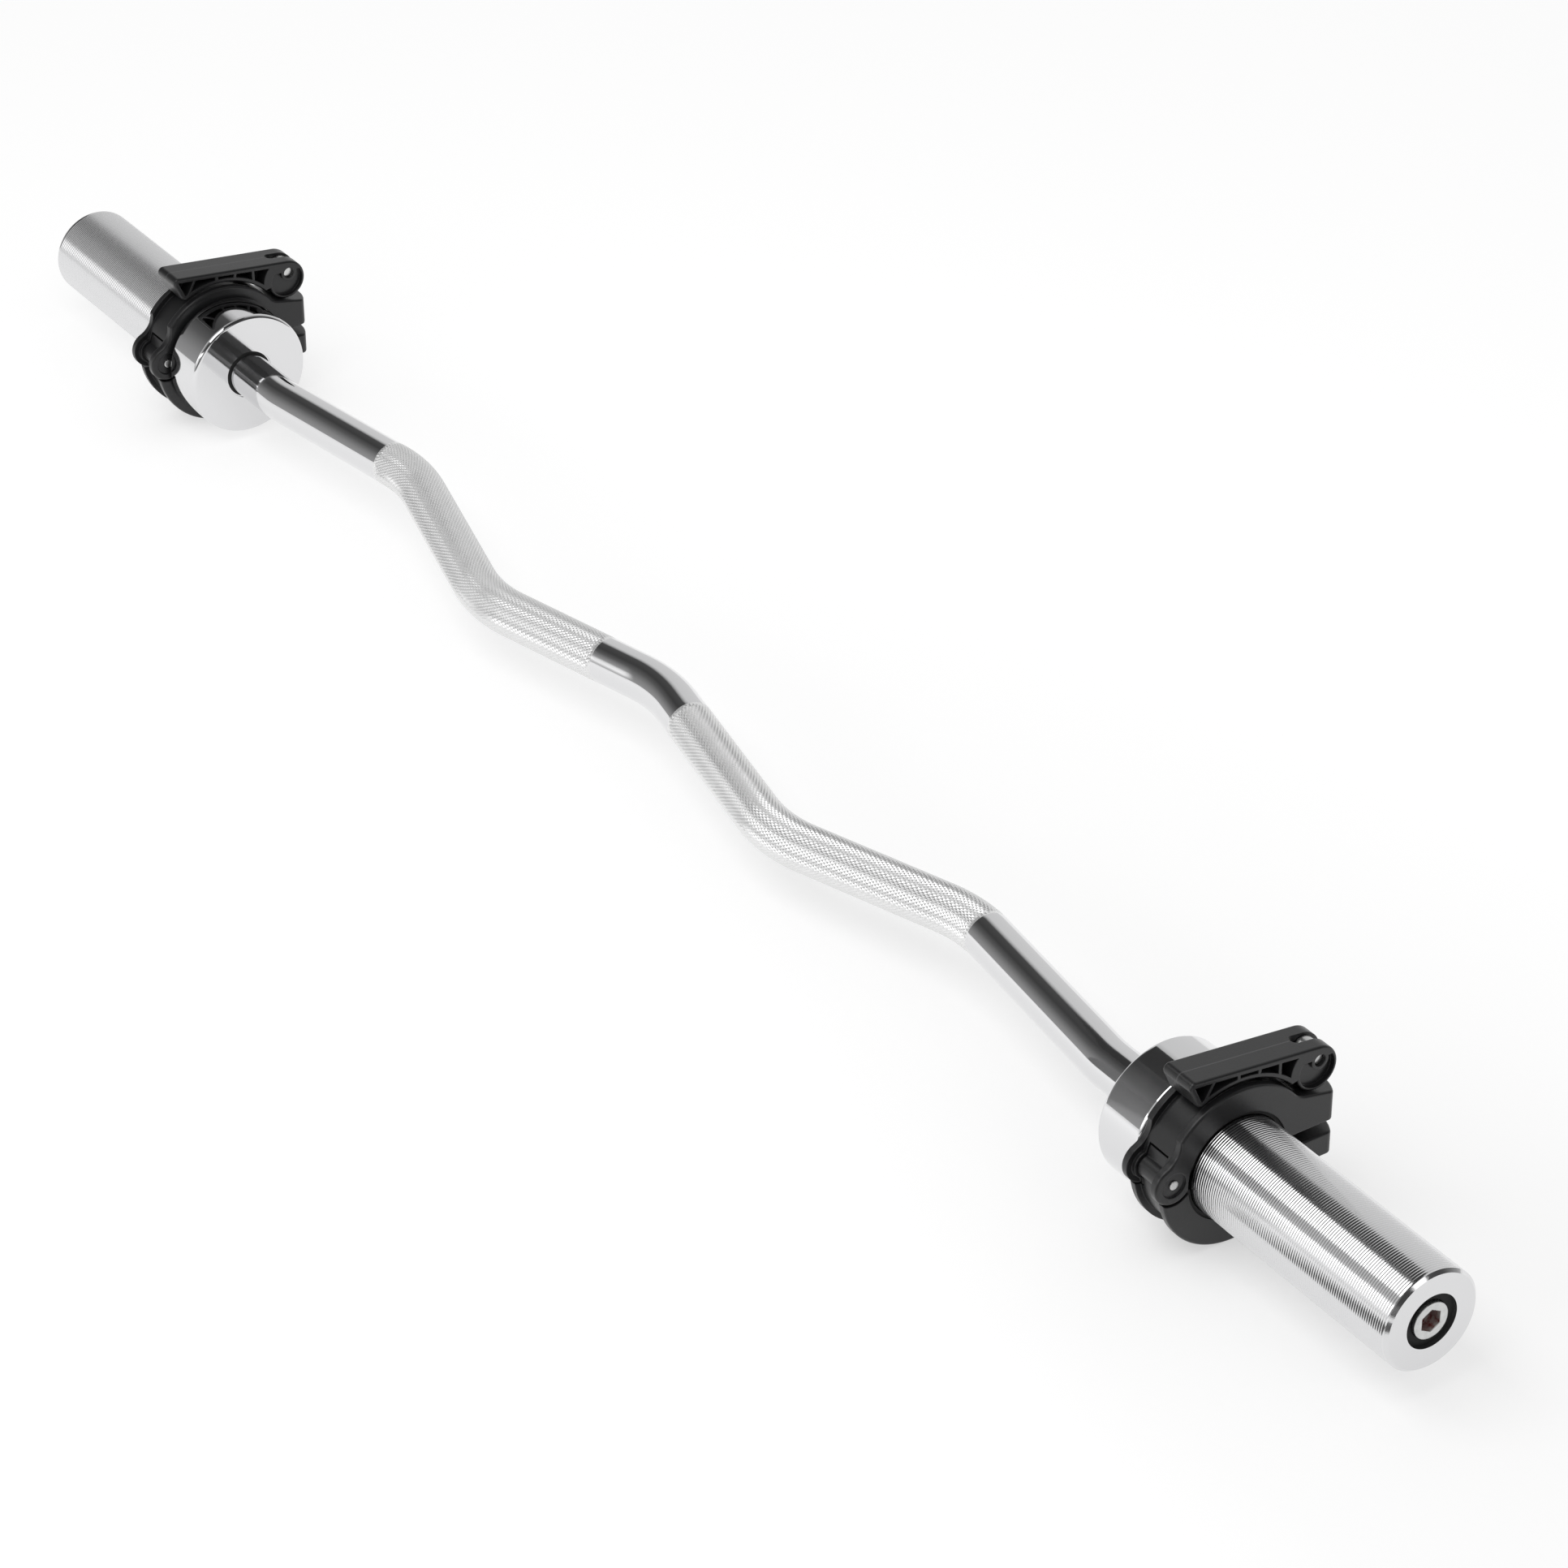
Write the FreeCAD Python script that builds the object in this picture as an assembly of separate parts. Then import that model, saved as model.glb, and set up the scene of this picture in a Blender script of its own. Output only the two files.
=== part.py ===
"""EZ curl bar with turning sleeves and a quick-release collar on each sleeve.

Millimetres. The bar lies along X, the right side is +X, Z is up. The pieces are worked out about the
bar's axis and moved at the end, so that the origin lies on the floor under the middle of the whole.
"""
import FreeCAD, Part
import math
import os
from FreeCAD import Vector

# Shaft
bar_length = 1200.0
shaft_diameter = 24.0
journal_diameter = 20.0
camber_tilt = 15.0
outer_straight = 38.0
inner_bend_at = 133.5
grip_bend_rise = 13.6
inner_bend_drop = 17.0
middle_bend_rise = 7.6
bend_radius = 95.0

# Sleeve, flange and the pieces inside them
sleeve_diameter = 50.0
sleeve_length = 185.0
sleeve_bore = 27.0
sleeve_chamfer = 1.5
land_relief = 0.3
flange_diameter = 70.0
flange_thickness = 28.0
flange_lip = 4.0
flange_round = 2.2
seal_diameter = 28.0
seal_recess = 0.6
bush_length = 45.0
shoulder_depth = 2.0
washer_thickness = 3.0
screw_diameter = 12.0
screw_length = 32.0
screw_head_diameter = 18.0
screw_head_height = 12.0
screw_head_recess = 0.5
hex_key_size = 10.0
hex_key_depth = 6.0
end_ring_recess = 2.5
end_ring_thickness = 9.0

# Fits
running_clearance = 0.05
press_clearance = 0.02
end_play = 0.2
loose_clearance = 0.3
moving_gap = 0.45

# Collar jaws
collar_gap = 2.0
collar_width = 25.0
pad_thickness = 1.7
pad_inset = 1.0
pad_end_angle = 12.0
jaw_wall = 13.0
jaw_rim = 4.0
jaw_channel_depth = 3.0
channel_start_angle = 58.0
lug_gap = 6.0
jaw_edge_round = 1.2
hinge_from_sleeve = 9.5
hinge_up = 3.5
hinge_boss_diameter = 20.0
hinge_boss_gap = 0.9
boss_dish_diameter = 12.6
boss_dish_depth = 1.0
waist_depth = 2.5
waist_radius = 12.0
hinge_pin_diameter = 4.4
hinge_pin_inset = 0.3
knuckle_width = 12.4
knuckle_wall = 3.4
notch_height = 12.0
tail_gap = 1.2
tail_step = 0.6
tail_thickness = 3.5
bolt_from_sleeve = 20.4
lug_margin = 11.0
lug_bulge = 4.5
lug_side_round = 3.0
upper_lug_slope = 12.0
upper_lug_thickness = 17.0
lower_lug_thickness = 12.0
upper_lug_hollow = 10.0
lower_lug_hollow = 8.0

# Collar lever, cam and draw bolt
lever_width = 20.0
lever_past_axis = 27.8
lever_slope = 6.9
lever_end_slant = 66.0
lever_end_corner = 3.0
lever_edge_round = 1.2
lever_skin = 2.6
lever_web = 2.4
lever_jaw_gap = 1.8
rib_width = 1.6
rib_tops_from_pin = (56.4, 45.3, 32.4, 22.4)
rib_feet_from_pin = (62.9, 44.9, 34.2, 22.3)
cam_diameter = 22.4
cam_throw = 4.2
cam_angle = 18.0
cam_rim = 1.6
cam_hub_wall = 3.5
cam_face_depth = 2.6
cam_face_above_pin = 1.2
pin_boss_wall = 1.6
lever_pin_diameter = 6.0
lever_pin_inset = 1.8
bolt_diameter = 5.0
bolt_sway = 1.4
bolt_tip = 1.5
eye_wall = 2.8
eye_width = 5.2
nut_size = 8.0
nut_height = 4.5

# Places along the bar
half_length = bar_length / 2
sleeve_start = half_length - sleeve_length
flange_end = sleeve_start + flange_thickness
outer_bend_at = sleeve_start - outer_straight
grip_bend_at = (inner_bend_at + outer_bend_at) / 2
tube_start = sleeve_start + flange_lip
shoulder_at = tube_start + shoulder_depth
screw_face = half_length - screw_head_recess
washer_end = screw_face - screw_head_height
shaft_end = washer_end - washer_thickness
collar_start = flange_end + collar_gap
collar_end = collar_start + collar_width
collar_middle = collar_start + collar_width / 2
knuckle_start = collar_middle - knuckle_width / 2
knuckle_end = collar_middle + knuckle_width / 2
lever_start = collar_middle - lever_width / 2
lever_end = collar_middle + lever_width / 2

# Radii about the bar's axis
shaft_radius = shaft_diameter / 2
journal_radius = journal_diameter / 2
sleeve_radius = sleeve_diameter / 2
bore_radius = sleeve_bore / 2
flange_radius = flange_diameter / 2
pad_radius = sleeve_radius + loose_clearance
jaw_bore = pad_radius + pad_thickness
jaw_radius = jaw_bore + jaw_wall
plain_bore = jaw_bore + jaw_edge_round
channel_radius = jaw_radius - jaw_channel_depth
lever_under_radius = jaw_radius + lever_jaw_gap

# Places across the bar, as (Y, Z) from its axis
hinge_out = sleeve_radius + hinge_from_sleeve
hinge = (-hinge_out, hinge_up)
hinge_reach = math.hypot(hinge_out, hinge_up)
hinge_boss_radius = hinge_boss_diameter / 2
hinge_pin_radius = hinge_pin_diameter / 2
knuckle_radius = hinge_pin_radius + knuckle_wall
parting_slope = hinge_up / hinge_out
parting_angle = 180.0 - math.degrees(math.atan(parting_slope))
parting_clearance = math.degrees(moving_gap / jaw_bore)
notch_angle = parting_angle - math.degrees(notch_height / channel_radius)
below_boss_angle = parting_angle + math.degrees(hinge_boss_diameter / hinge_reach)
bolt_out = sleeve_radius + bolt_from_sleeve
lower_lug_top = -jaw_bore * parting_slope - loose_clearance
upper_lug_low = lower_lug_top + lug_gap
upper_lug_top = upper_lug_low + upper_lug_thickness
lower_lug_low = lower_lug_top - lower_lug_thickness
lug_end = bolt_out + lug_margin
lug_corner = lug_end - lug_bulge
cam_radius = cam_diameter / 2
cam_lean = math.radians(cam_angle)
lug_lean = math.radians(upper_lug_slope)
cam_aside = cam_throw * math.sin(cam_lean)
cam_above_lug = (cam_radius + moving_gap + cam_aside * math.sin(lug_lean)) / math.cos(lug_lean)
cam_centre = (bolt_out - cam_aside, upper_lug_top + cam_above_lug)
cam_pin = (bolt_out, cam_centre[1] + cam_throw * math.cos(cam_lean))
lever_pin_radius = lever_pin_diameter / 2
bolt_radius = bolt_diameter / 2
eye_radius = lever_pin_radius + eye_wall


def polar(radius, degrees, centre=(0.0, 0.0)):
    """Point across the bar at an angle that starts at +Y and rises towards +Z."""
    angle = math.radians(degrees)
    return (centre[0] + radius * math.cos(angle), centre[1] + radius * math.sin(angle))


def line(first, last):
    """Straight edge across the bar between two (Y, Z) points."""
    return Part.LineSegment(Vector(0, *first), Vector(0, *last)).toShape()


def arc(radius, from_angle, to_angle, centre=(0.0, 0.0)):
    """Round edge across the bar about a (Y, Z) centre."""
    angles = (from_angle, (from_angle + to_angle) / 2, to_angle)
    points = [Vector(0, *polar(radius, angle, centre)) for angle in angles]
    return Part.Arc(*points).toShape()


def arc_through(first, middle, last):
    """Round edge across the bar through three (Y, Z) points."""
    return Part.Arc(Vector(0, *first), Vector(0, *middle), Vector(0, *last)).toShape()


def meeting_turn(near, far, opposite):
    """Degrees at the corner between two sides of a triangle."""
    return math.degrees(math.acos((near ** 2 + far ** 2 - opposite ** 2) / (2 * near * far)))


def outline(*edges):
    """Edges in order, with straight lines added wherever one does not start where the last ended."""
    closed = []
    for index, edge in enumerate(edges):
        closed.append(edge)
        last = edge.lastVertex(True).Point
        following = edges[(index + 1) % len(edges)].firstVertex(True).Point
        if last.distanceToPoint(following) > 1e-6:
            closed.append(Part.LineSegment(last, following).toShape())
    return Part.Wire(closed)


def prism(wire, start, end):
    """Solid with the wire's outline across the bar, between two places along it."""
    solid = Part.Face(wire).extrude(Vector(end - start, 0, 0))
    solid.translate(Vector(start, 0, 0))
    return solid


def polygon_prism(points, start, end):
    """Solid with a straight-sided outline across the bar."""
    corners = [Vector(0, *point) for point in points]
    return prism(Part.makePolygon(corners + corners[:1]), start, end)


def cylinder(radius, start, end, centre=(0.0, 0.0)):
    """Solid cylinder along the bar."""
    return Part.makeCylinder(radius, end - start, Vector(start, *centre), Vector(1, 0, 0))


def ring(inner, outer, start, end, centre=(0.0, 0.0)):
    """Plain ring along the bar."""
    return cylinder(outer, start, end, centre).cut(cylinder(inner, start, end, centre))


def sector(inner, outer, from_angle, to_angle, start, end):
    """Part of a ring about the bar's axis."""
    wire = outline(arc(outer, from_angle, to_angle), arc(inner, to_angle, from_angle))
    return prism(wire, start, end)


def turned(corners):
    """Solid turned about the bar's axis from (along, radius) corners."""
    points = [Vector(along, radius, 0) for along, radius in corners]
    face = Part.Face(Part.makePolygon(points + points[:1]))
    return face.revolve(Vector(0, 0, 0), Vector(1, 0, 0), 360)


def upright(radius, low, high, across):
    """Solid cylinder that stands on Z in the middle of the collar."""
    return Part.makeCylinder(radius, high - low, Vector(collar_middle, across, low), Vector(0, 0, 1))


def hexagon(across_flats, height, base, direction):
    """Six-sided prism."""
    corner_radius = across_flats / math.sqrt(3)
    corners = [Vector(*polar(corner_radius, 60 * side), 0) for side in range(7)]
    solid = Part.Face(Part.makePolygon(corners)).extrude(Vector(0, 0, height))
    solid.Placement = FreeCAD.Placement(base, FreeCAD.Rotation(Vector(0, 0, 1), direction))
    return solid


def round_corners(solid, places, radius):
    """Rounds the edges that run along the bar at the given (Y, Z) places."""
    chosen = []
    for edge in solid.Edges:
        first, last = [vertex.Point for vertex in edge.Vertexes[:1] + edge.Vertexes[-1:]]
        along = abs(first.y - last.y) < 1e-6 and abs(first.z - last.z) < 1e-6
        if along and any(math.hypot(first.y - y, first.z - z) < 1e-3 for y, z in places):
            chosen.append(edge)
    return solid.makeFillet(radius, chosen)


def round_faces(solid, radius, start, end, clear_of, past=math.inf):
    """Rounds a solid's end faces apart from edges near the bar's axis, and edges past a place across it."""
    chosen = []
    for edge in solid.Edges:
        box = edge.BoundBox
        middle = edge.valueAt((edge.FirstParameter + edge.LastParameter) / 2)
        on_face = box.XLength < 1e-6 and min(abs(middle.x - start), abs(middle.x - end)) < 1e-6
        if middle.y > past or (on_face and math.hypot(middle.y, middle.z) > clear_of):
            chosen.append(edge)
    return solid.makeFillet(radius, chosen)


def camber_point(along, rise):
    """Point of the shaft's centre line, in the plane of the bends."""
    tilt = math.radians(camber_tilt)
    return Vector(along, rise * math.cos(tilt), rise * math.sin(tilt))


def bent_path(points, radius):
    """Straight runs through the points, joined by tangent arcs."""
    edges = []
    run_start = points[0]
    for before, corner, after in zip(points, points[1:], points[2:]):
        back = (before - corner).normalize()
        ahead = (after - corner).normalize()
        half_angle = back.getAngle(ahead) / 2
        reach = radius / math.tan(half_angle)
        middle = corner + (back + ahead).normalize() * (radius / math.sin(half_angle) - radius)
        arc_start = corner + back * reach
        arc_end = corner + ahead * reach
        edges.append(Part.LineSegment(run_start, arc_start).toShape())
        edges.append(Part.Arc(arc_start, middle, arc_end).toShape())
        run_start = arc_end
    edges.append(Part.LineSegment(run_start, points[-1]).toShape())
    return Part.Wire(edges)


def make_shaft():
    """Bent bar with a turned journal and a tapped hole at each end."""
    half = [
        (inner_bend_at, -inner_bend_drop),
        (grip_bend_at, grip_bend_rise),
        (outer_bend_at, 0.0),
        (shoulder_at, 0.0),
    ]
    places = [(-along, rise) for along, rise in reversed(half)] + [(0.0, middle_bend_rise)] + half
    path = bent_path([camber_point(*place) for place in places], bend_radius)
    section = Part.Wire(Part.makeCircle(shaft_radius, Vector(-shoulder_at, 0, 0), Vector(1, 0, 0)))
    shaft = path.makePipeShell([section], True, False)
    swept_volume = math.pi * shaft_radius ** 2 * path.Length
    print("shaft volume over section times length", shaft.Volume / swept_volume)
    for side in (-1, 1):
        journal = cylinder(journal_radius, shoulder_at, shaft_end)
        hole = cylinder(screw_diameter / 2, shaft_end - screw_length, shaft_end)
        if side < 0:
            journal = journal.mirror(Vector(0, 0, 0), Vector(1, 0, 0))
            hole = hole.mirror(Vector(0, 0, 0), Vector(1, 0, 0))
        shaft = shaft.fuse(journal).cut(hole)
    return shaft.removeSplitter()


def make_sleeve():
    """Tube with a plain land by the flange, a loading stretch and a chamfered end."""
    land_radius = sleeve_radius - land_relief
    return turned([
        (tube_start, bore_radius),
        (tube_start, land_radius),
        (collar_end + collar_gap, land_radius),
        (collar_end + collar_gap, sleeve_radius),
        (half_length - sleeve_chamfer, sleeve_radius),
        (half_length, sleeve_radius - sleeve_chamfer),
        (half_length, bore_radius),
    ])


def make_flange():
    """Thick stop ring with a lip that holds the seal and closes the tube's end."""
    seat = sleeve_radius - land_relief + press_clearance
    seal_seat = seal_diameter / 2
    flange = turned([
        (sleeve_start, seal_seat),
        (sleeve_start, flange_radius),
        (flange_end, flange_radius),
        (flange_end, seat),
        (tube_start, seat),
        (tube_start, seal_seat),
    ])
    return round_faces(flange, flange_round, sleeve_start, flange_end, sleeve_radius)


def make_shaft_seal():
    """Black ring in the flange's lip, close round the shaft."""
    outside = seal_diameter / 2 - press_clearance
    return ring(shaft_radius + running_clearance, outside, sleeve_start + seal_recess, tube_start)


def make_bush(start):
    """Plain bush pressed into the tube."""
    return ring(journal_radius + running_clearance, bore_radius - press_clearance, start, start + bush_length)


def make_thrust_washer():
    """Washer on the shaft's end, which keeps the outer bush and so the sleeve on the shaft."""
    return ring(screw_diameter / 2 + end_play, bore_radius - moving_gap, shaft_end, washer_end)


def make_end_bolt():
    """Socket screw in the shaft's end."""
    shank = cylinder(screw_diameter / 2 - press_clearance, shaft_end - screw_length + end_play, washer_end)
    head = cylinder(screw_head_diameter / 2, washer_end, screw_face)
    socket_base = Vector(screw_face - hex_key_depth, 0, 0)
    socket = hexagon(hex_key_size, hex_key_depth, socket_base, Vector(1, 0, 0))
    return shank.fuse(head).cut(socket).removeSplitter()


def make_end_ring():
    """Black ring that fills the tube's mouth round the screw head."""
    end = half_length - end_ring_recess
    inside = screw_head_diameter / 2 + loose_clearance
    return ring(inside, bore_radius - press_clearance, end - end_ring_thickness, end)


def lug_outline(top, low, hollow, slope, side):
    """Edges of a lug from its inner face round its end to the jaw's outside. Side is +1 above the axis."""
    inner_face, outer_face = (low, top) if side > 0 else (top, low)
    lean = math.radians(slope)
    outward = (math.sin(lean), side * math.cos(lean))
    along = (math.cos(lean), -side * math.sin(lean))
    hollow_up = bolt_out * outward[0] + outer_face * outward[1] + hollow
    hollow_along = math.sqrt((jaw_radius + hollow) ** 2 - hollow_up ** 2)
    hollow_centre = [hollow_along * along[axis] + hollow_up * outward[axis] for axis in (0, 1)]
    turn_angle = math.degrees(math.atan2(hollow_centre[1], hollow_centre[0]))
    bore_point = (math.sqrt(jaw_bore ** 2 - inner_face ** 2), inner_face)
    outer_corner = (lug_end, outer_face - side * (lug_end - bolt_out) * math.tan(lean))
    edges = [
        line(bore_point, (lug_end, inner_face)),
        line((lug_end, inner_face), outer_corner),
        arc(hollow, side * (270.0 - slope), turn_angle + side * 180.0, hollow_centre),
    ]
    return edges, turn_angle


def round_lug(jaw, low, high):
    """Gives a lug's end a bow as seen from above, and rounds the upright edges beside it."""
    bow_radius = (collar_width ** 2 / 4 + lug_bulge ** 2) / (2 * lug_bulge)
    block = Part.makeBox(collar_width, lug_bulge, high - low, Vector(collar_start, lug_corner, low))
    jaw = jaw.cut(block.cut(upright(bow_radius, low, high, lug_end - bow_radius)))
    chosen = []
    for edge in jaw.Edges:
        box = edge.BoundBox
        if box.XLength < 1e-6 and box.YLength < 1e-6 and abs(box.YMax - lug_corner) < 1e-6:
            chosen.append(edge)
    return jaw.makeFillet(lug_side_round, chosen)


def hinge_outline():
    """Edges from the jaw's outside over the waist and round the hinge boss to the bore."""
    waist_out = jaw_radius - waist_depth + waist_radius
    waist_angle = parting_angle - meeting_turn(waist_out, hinge_reach, hinge_boss_radius + waist_radius)
    waist_start = waist_angle - meeting_turn(waist_out, jaw_radius, waist_radius)
    waist_centre = polar(waist_out, waist_angle)
    boss_start = math.degrees(math.atan2(waist_centre[1] - hinge[1], waist_centre[0] - hinge[0]))
    bore_end = parting_angle + meeting_turn(hinge_reach, jaw_bore, hinge_boss_radius)
    bore_point = polar(jaw_bore, bore_end)
    boss_end = math.degrees(math.atan2(bore_point[1] - hinge[1], bore_point[0] - hinge[0])) + 360.0
    boss_point = polar(hinge_boss_radius, boss_start, hinge)
    waist_point = polar(jaw_radius, waist_start)
    edges = [
        arc_through(waist_point, polar(jaw_radius - waist_depth, waist_angle), boss_point),
        arc(hinge_boss_radius, boss_start, boss_end, hinge),
    ]
    return edges, waist_start, bore_end


def make_upper_jaw():
    """Half of the clamp that carries the hinge pin, with the lug that the cam presses on."""
    edges, turn_angle = lug_outline(upper_lug_top, upper_lug_low, upper_lug_hollow, upper_lug_slope, 1)
    hinge_edges, waist_start, bore_end = hinge_outline()
    bore_angle = math.degrees(math.asin(upper_lug_low / jaw_bore))
    edges.append(arc(jaw_radius, turn_angle, waist_start))
    edges += hinge_edges
    edges.append(arc(jaw_bore, bore_end, bore_angle))
    jaw = round_lug(prism(outline(*edges), collar_start, collar_end), upper_lug_low, jaw_radius)
    jaw = round_faces(jaw, jaw_edge_round, collar_start, collar_end, plain_bore, lug_corner)
    outside = jaw_radius + hinge_boss_diameter
    channel = sector(
        channel_radius, outside, channel_start_angle, below_boss_angle,
        collar_start + jaw_rim, collar_end - jaw_rim)
    ledge = cylinder(hinge_boss_radius - jaw_channel_depth, collar_start, collar_end, hinge)
    notch = sector(
        jaw_bore / 2, outside, notch_angle, below_boss_angle,
        knuckle_start - loose_clearance, knuckle_end + loose_clearance)
    pin_hole = cylinder(hinge_pin_radius + press_clearance, collar_start, collar_end, hinge)
    dish_radius = boss_dish_diameter / 2
    slot_width = 2 * (bolt_radius + loose_clearance)
    bolt_slot = upright(slot_width / 2, upper_lug_low, jaw_radius, bolt_out)
    bolt_slot = bolt_slot.fuse(upright(slot_width / 2, upper_lug_low, jaw_radius, bolt_out + bolt_sway))
    between = Part.makeBox(slot_width, bolt_sway, jaw_radius - upper_lug_low)
    between.translate(Vector(collar_middle - slot_width / 2, bolt_out, upper_lug_low))
    cutters = [channel.cut(ledge), notch, pin_hole, bolt_slot.fuse(between)]
    for face in (collar_start, collar_end - boss_dish_depth):
        cutters.append(cylinder(dish_radius, face, face + boss_dish_depth, hinge))
    for cutter in cutters:
        jaw = jaw.cut(cutter)
    return jaw.removeSplitter()


def make_lower_jaw():
    """Half of the clamp that swings on the hinge pin, with the lug that the draw bolt pulls."""
    edges, turn_angle = lug_outline(lower_lug_top, lower_lug_low, lower_lug_hollow, 0.0, -1)
    bore_angle = math.degrees(math.asin(lower_lug_top / jaw_bore))
    left_angle = parting_angle + parting_clearance - 360.0
    edges.append(arc(jaw_radius, turn_angle, left_angle))
    edges.append(arc(jaw_bore, left_angle, bore_angle))
    jaw = round_lug(prism(outline(*edges), collar_start, collar_end), -jaw_radius, lower_lug_top)
    jaw = round_faces(jaw, jaw_edge_round, collar_start, collar_end, plain_bore, lug_corner)
    channel = sector(
        channel_radius, jaw_radius + jaw_channel_depth, parting_angle, 360.0 - channel_start_angle,
        collar_start + jaw_rim, collar_end - jaw_rim)
    jaw = jaw.cut(channel)
    for start, end in ((collar_start, knuckle_start), (knuckle_end, collar_end)):
        jaw = jaw.cut(cylinder(hinge_boss_radius + hinge_boss_gap, start, end, hinge))
    jaw = jaw.fuse(cylinder(knuckle_radius, knuckle_start, knuckle_end, hinge))
    tail_top = channel_radius - tail_step
    tail_angle = notch_angle + math.degrees(tail_gap / channel_radius)
    tail = sector(tail_top - tail_thickness, tail_top, tail_angle, parting_angle, knuckle_start, knuckle_end)
    jaw = jaw.fuse(tail)
    pin_hole = cylinder(hinge_pin_radius + running_clearance, collar_start, collar_end, hinge)
    bolt_hole = upright(bolt_radius + press_clearance, lower_lug_low, lower_lug_top, bolt_out)
    spot_face = upright(nut_size / math.sqrt(3) + end_play, -jaw_radius, lower_lug_low, bolt_out)
    for cutter in (pin_hole, bolt_hole, spot_face):
        jaw = jaw.cut(cutter)
    return jaw.removeSplitter()


def make_pad(from_angle, to_angle):
    """Rubber lining of a jaw."""
    start = collar_start + pad_inset
    end = collar_end - pad_inset
    return sector(pad_radius, jaw_bore, from_angle, to_angle, start, end)


def make_hinge_pin():
    """Pin of the jaws' hinge, which stands up in the dish of each boss."""
    return cylinder(hinge_pin_radius, collar_start + hinge_pin_inset, collar_end - hinge_pin_inset, hinge)


def inset_corner(corner, first_normal, last_normal, distance):
    """Corner moved in from both of its sides by the same distance."""
    across = first_normal[0] * last_normal[1] - first_normal[1] * last_normal[0]
    shift_y = distance * (last_normal[1] - first_normal[1]) / across
    shift_z = distance * (first_normal[0] - last_normal[0]) / across
    return (corner[0] + shift_y, corner[1] + shift_z)


def make_lever():
    """Trussed lever with a slotted cam at its pinned end."""
    top_angle = 90.0 - lever_slope
    tangent = polar(cam_radius, top_angle, cam_centre)
    along_top = polar(1.0, top_angle + 90.0)
    tip_across = -lever_past_axis
    top_length = (tip_across - tangent[0]) / along_top[0]
    tip = (tip_across, tangent[1] + top_length * along_top[1])
    down_end = polar(1.0, -lever_end_slant)
    toward = tip[0] * down_end[0] + tip[1] * down_end[1]
    end_length = -toward - math.sqrt(toward ** 2 - tip[0] ** 2 - tip[1] ** 2 + lever_under_radius ** 2)
    heel = (tip[0] + end_length * down_end[0], tip[1] + end_length * down_end[1])
    deep = (tip[0] + 2 * end_length * down_end[0], tip[1] + 2 * end_length * down_end[1])
    inside = (0.0, lever_under_radius / 2)
    body = polygon_prism([tip, tangent, cam_centre, inside, deep], lever_start, lever_end)
    body = body.cut(cylinder(lever_under_radius, lever_start, lever_end))
    body = round_corners(body, [tip, heel], lever_end_corner)
    lever = body.fuse(cylinder(cam_radius, lever_start, lever_end, cam_centre)).removeSplitter()
    lever = round_faces(lever, lever_edge_round, lever_start, lever_end, 0.0)

    top_inward = polar(1.0, top_angle + 180.0)
    end_inward = polar(1.0, 90.0 - lever_end_slant)
    inner_tip = inset_corner(tip, top_inward, end_inward, lever_skin)
    inner_tangent = (tangent[0] + lever_skin * top_inward[0], tangent[1] + lever_skin * top_inward[1])
    inner_deep = (deep[0] + lever_skin / math.sin(math.radians(lever_end_slant)), deep[1])
    pocket_depth = (lever_width - lever_web) / 2
    for start in (lever_start, lever_end - pocket_depth):
        end = start + pocket_depth
        pockets = polygon_prism([inner_tip, inner_tangent, cam_centre, inside, inner_deep], start, end)
        pockets = pockets.cut(cylinder(lever_under_radius + lever_skin, start, end))
        pockets = pockets.cut(cylinder(cam_radius + cam_hub_wall, start, end, cam_centre))
        for top_from_pin, foot_from_pin in zip(rib_tops_from_pin, rib_feet_from_pin):
            top = (cam_pin[0] - top_from_pin, tip[1])
            foot = (cam_pin[0] - foot_from_pin, lever_under_radius - rib_width)
            half_rib = rib_width / 2
            rib = [
                (top[0] - half_rib, top[1]),
                (top[0] + half_rib, top[1]),
                (foot[0] + half_rib, foot[1]),
                (2 * foot[0] - top[0] + half_rib, 2 * foot[1] - top[1]),
                (2 * foot[0] - top[0] - half_rib, 2 * foot[1] - top[1]),
                (foot[0] - half_rib, foot[1]),
            ]
            pockets = pockets.cut(polygon_prism(rib, start, end))
        lever = lever.cut(pockets)

    for start in (lever_start, lever_end - cam_face_depth):
        end = start + cam_face_depth
        face = cylinder(cam_radius - cam_rim, start, end, cam_centre)
        face = face.cut(cylinder(lever_pin_radius + pin_boss_wall, start, end, cam_pin))
        above = Part.makeBox(cam_face_depth, cam_diameter, cam_diameter)
        above.translate(Vector(start, cam_centre[0] - cam_radius, cam_pin[1] + cam_face_above_pin))
        lever = lever.cut(face.cut(above))

    slot_width = eye_width + 2 * loose_clearance
    slot_start = cam_pin[0] - eye_radius - moving_gap
    slot_low = cam_pin[1] - cam_diameter
    slot_high = cam_pin[1] + cam_diameter
    slot = Part.makeBox(slot_width, cam_diameter, slot_high - slot_low)
    slot.translate(Vector(collar_middle - slot_width / 2, slot_start, slot_low))
    slot = slot.fuse(upright(slot_width / 2, slot_low, slot_high, slot_start))
    pin_hole = cylinder(lever_pin_radius + press_clearance, lever_start, lever_end, cam_pin)
    return lever.cut(slot).cut(pin_hole).removeSplitter()


def make_lever_pin():
    """Pin of the cam, pressed into the lever."""
    return cylinder(lever_pin_radius, lever_start + lever_pin_inset, lever_end - lever_pin_inset, cam_pin)


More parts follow.
